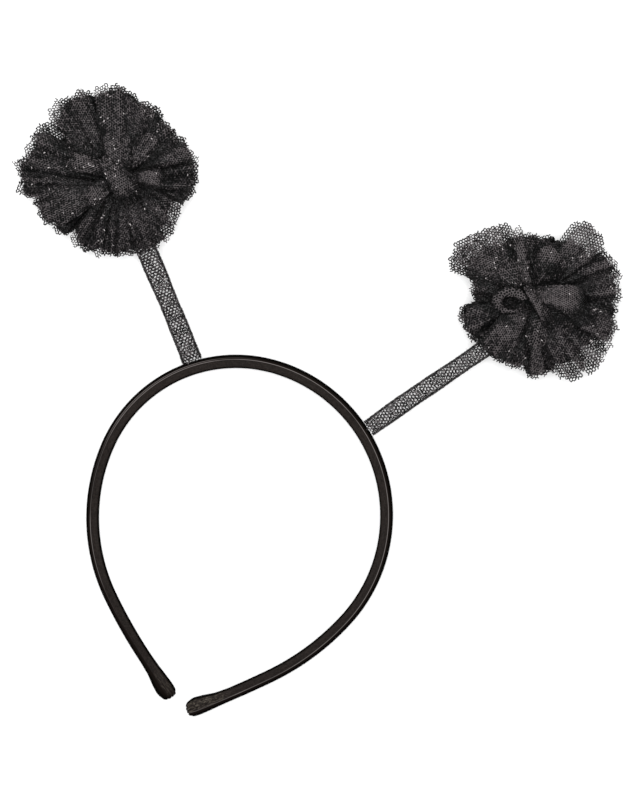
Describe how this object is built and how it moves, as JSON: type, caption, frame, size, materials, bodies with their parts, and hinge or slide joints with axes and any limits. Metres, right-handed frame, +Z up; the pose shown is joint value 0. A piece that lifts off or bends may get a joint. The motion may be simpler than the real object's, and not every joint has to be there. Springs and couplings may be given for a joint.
{
  "type": "antenna headband",
  "caption": "Costume headband with a satin-covered band, two upright net sleeves as antennae and a ruffled net pompom on each, lying flat.",
  "frame": {"origin": "middle of the footprint, on the surface that the headband lies on", "axes": "+X across the band towards the longer antenna, +Y from the band's open ends to its crown, +Z up through the front of the band"},
  "size_m": [0.2712, 0.2618, 0.0461],
  "materials": {
    "satin": "satin",
    "net": "matte"
  },
  "bodies": {
    "root": {"headband": "satin", "stem_left": "net", "stem_right": "net", "pompom_left": "net", "pompom_right": "net"}
  },
  "joints": []
}
